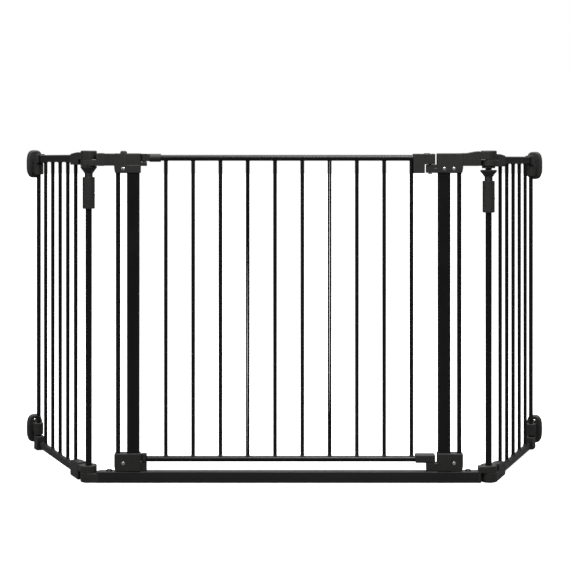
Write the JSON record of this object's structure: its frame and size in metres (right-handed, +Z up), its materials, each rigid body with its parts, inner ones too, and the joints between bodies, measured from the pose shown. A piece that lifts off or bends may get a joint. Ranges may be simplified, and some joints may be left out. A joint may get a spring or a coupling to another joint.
{
  "type": "safety gate",
  "caption": "Free-standing black steel child safety gate with a lift-and-swing barred door, corner joints and two angled side panels with wall plates.",
  "frame": {"origin": "centre of the sill's underside, on the floor", "axes": "+Z up, +X along the closed door towards its latch, +Y to the back, where the side panels run to the wall"},
  "size_m": [1.2775, 0.3991, 0.7322],
  "materials": {
    "black_powder_coat": "satin",
    "black_moulded_plastic": "fine texture",
    "zinc_steel": "zinc plated",
    "spring_steel": "drawn wire",
    "black_nylon": "smooth"
  },
  "bodies": {
    "frame": {"sill_tube": "black_powder_coat", "left_sill_bolt": "black_powder_coat", "right_sill_bolt": "black_powder_coat", "left_wide_post": "black_powder_coat", "right_wide_post": "black_powder_coat", "left_thin_post": "black_powder_coat", "right_thin_post": "black_powder_coat", "upper_hinge_bracket": "black_moulded_plastic", "upper_keeper_bracket": "black_moulded_plastic", "lower_hinge_bracket": "black_moulded_plastic", "lower_keeper_bracket": "black_moulded_plastic", "left_floor_knuckle": "black_moulded_plastic", "right_floor_knuckle": "black_moulded_plastic", "upper_hinge_bracket_screw": "zinc_steel", "upper_keeper_bracket_inner_screw": "zinc_steel", "upper_keeper_bracket_outer_screw": "zinc_steel", "lower_hinge_bracket_screw": "zinc_steel", "lower_keeper_bracket_screw": "zinc_steel", "left_corner_rod": "black_powder_coat", "upper_hinge_pin": "zinc_steel", "lower_hinge_pin": "zinc_steel", "upper_keeper_pin": "zinc_steel", "lower_keeper_pin": "zinc_steel"},
    "door_hinge": {"upper_hinge_bush": "black_nylon", "lower_hinge_bush": "black_nylon"},
    "door": {"door_panel": "black_powder_coat", "upper_hinge_sleeve": "black_moulded_plastic", "lower_hinge_sleeve": "black_moulded_plastic", "latch_housing": "black_moulded_plastic", "lower_latch_shoe": "black_moulded_plastic", "latch_spring": "spring_steel"},
    "latch_slider": {"latch_slider": "black_moulded_plastic"},
    "left_collar": {"left_lock_collar": "black_moulded_plastic", "left_collar_screw": "zinc_steel"},
    "right_collar": {"right_lock_collar": "black_moulded_plastic", "right_collar_screw": "zinc_steel"},
    "left_wing": {"left_wing_panel": "black_powder_coat", "left_wing_end_post": "black_powder_coat", "left_wing_top_knuckle": "black_moulded_plastic", "left_wing_bottom_knuckle": "black_moulded_plastic", "left_wing_top_end_block": "black_moulded_plastic", "left_wing_bottom_end_block": "black_moulded_plastic"},
    "right_wing": {"right_wing_panel": "black_powder_coat", "right_wing_end_post": "black_powder_coat", "right_wing_top_knuckle": "black_moulded_plastic", "right_wing_bottom_knuckle": "black_moulded_plastic", "right_wing_top_end_block": "black_moulded_plastic", "right_wing_bottom_end_block": "black_moulded_plastic", "right_corner_rod": "black_powder_coat"},
    "left_upper_plate": {"left_upper_plate_clamp": "black_moulded_plastic", "left_upper_wall_plate": "black_moulded_plastic"},
    "left_lower_plate": {"left_lower_plate_clamp": "black_moulded_plastic", "left_lower_wall_plate": "black_moulded_plastic"},
    "right_upper_plate": {"right_upper_plate_clamp": "black_moulded_plastic", "right_upper_wall_plate": "black_moulded_plastic"},
    "right_lower_plate": {"right_lower_plate_clamp": "black_moulded_plastic", "right_lower_wall_plate": "black_moulded_plastic"}
  },
  "joints": [
    {"name": "door_swing", "type": "hinge", "parent": "frame", "child": "door_hinge", "pos_m": [-0.318, 0, 0], "axis": [0, 0, 1], "range_deg": [-90, 90]},
    {"name": "door_lift", "type": "slide", "parent": "door_hinge", "child": "door", "axis": [0, 0, 1], "range_m": [0, 0.012]},
    {"name": "latch_slide", "type": "slide", "parent": "door", "child": "latch_slider", "axis": [-1, 0, 0], "range_m": [0, 0.006], "stiffness_N_per_m": 60, "springref_m": -0.005, "deforming": ["latch_spring"]},
    {"name": "left_wing_swing", "type": "hinge", "parent": "frame", "child": "left_wing", "pos_m": [-0.441, 0.009, 0], "axis": [0, 0, 1], "range_deg": [-26.5, 153.5]},
    {"name": "right_wing_swing", "type": "hinge", "parent": "frame", "child": "right_wing", "pos_m": [0.441, 0.009, 0], "axis": [0, 0, -1], "range_deg": [-23.5, 156.5]},
    {"name": "left_collar_slide", "type": "slide", "parent": "frame", "child": "left_collar", "axis": [0, 0, -1], "range_m": [0, 0.0085]},
    {"name": "right_collar_slide", "type": "slide", "parent": "right_wing", "child": "right_collar", "axis": [0, 0, 1], "range_m": [0, 0.0085]},
    {"name": "left_upper_plate_swivel", "type": "hinge", "parent": "left_wing", "child": "left_upper_plate", "pos_m": [-0.61236, 0.33253, 0], "axis": [0, 0, 1], "range_deg": [-60, 60]},
    {"name": "left_lower_plate_swivel", "type": "hinge", "parent": "left_wing", "child": "left_lower_plate", "pos_m": [-0.61236, 0.33253, 0], "axis": [0, 0, 1], "range_deg": [-60, 60]},
    {"name": "right_upper_plate_swivel", "type": "hinge", "parent": "right_wing", "child": "right_upper_plate", "pos_m": [0.5952, 0.34105, 0], "axis": [0, 0, 1], "range_deg": [-60, 60]},
    {"name": "right_lower_plate_swivel", "type": "hinge", "parent": "right_wing", "child": "right_lower_plate", "pos_m": [0.5952, 0.34105, 0], "axis": [0, 0, 1], "range_deg": [-60, 60]}
  ]
}
